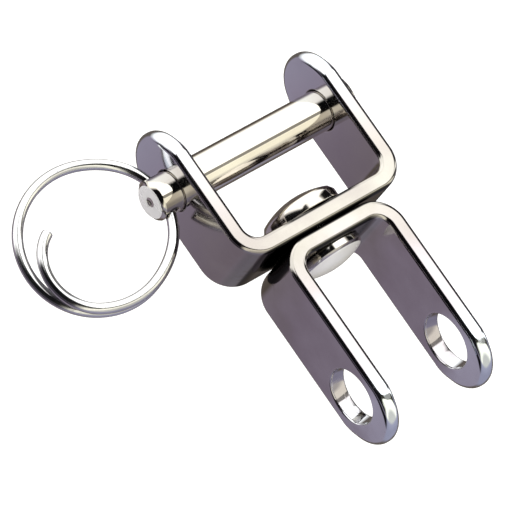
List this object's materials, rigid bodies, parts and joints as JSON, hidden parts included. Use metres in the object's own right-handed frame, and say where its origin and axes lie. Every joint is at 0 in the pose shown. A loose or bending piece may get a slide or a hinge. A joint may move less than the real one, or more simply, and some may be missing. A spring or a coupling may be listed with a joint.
{
  "type": "double fork swivel",
  "caption": "Double fork swivel in polished stainless steel: two bent strap forks turn on a rivet, and a clevis pin kept by a split ring closes the wider fork.",
  "frame": {"origin": "midway between the narrow fork's two eyes, on their common axis", "axes": "+X along the swivel axis towards the narrow fork's open end, +Y along the eyes and the clevis pin towards the pin's head, +Z across the width of the straps"},
  "size_m": [0.0467, 0.0455, 0.01],
  "materials": {
    "fork_steel": "polished stainless steel",
    "rivet_steel": "polished stainless steel",
    "pin_steel": "bright drawn stainless steel",
    "ring_wire": "bright stainless spring wire"
  },
  "bodies": {
    "wide_fork": {"wide_fork": "fork_steel"},
    "narrow_fork": {"narrow_fork": "fork_steel", "swivel_rivet": "rivet_steel"},
    "clevis_pin": {"clevis_pin": "pin_steel"},
    "split_ring": {"split_ring": "ring_wire"}
  },
  "joints": [
    {"name": "fork_swivel", "type": "hinge", "parent": "wide_fork", "child": "narrow_fork", "pos_m": [-0.018, 0, 0], "axis": [1, 0, 0], "continuous": true},
    {"name": "pin_turn", "type": "hinge", "parent": "wide_fork", "child": "clevis_pin", "pos_m": [-0.0309, 0, 0], "axis": [0, 1, 0], "continuous": true},
    {"name": "ring_swing", "type": "hinge", "parent": "clevis_pin", "child": "split_ring", "pos_m": [-0.0309, -0.014, 0], "axis": [1, 0, 0], "range_deg": [-105, 42]}
  ]
}
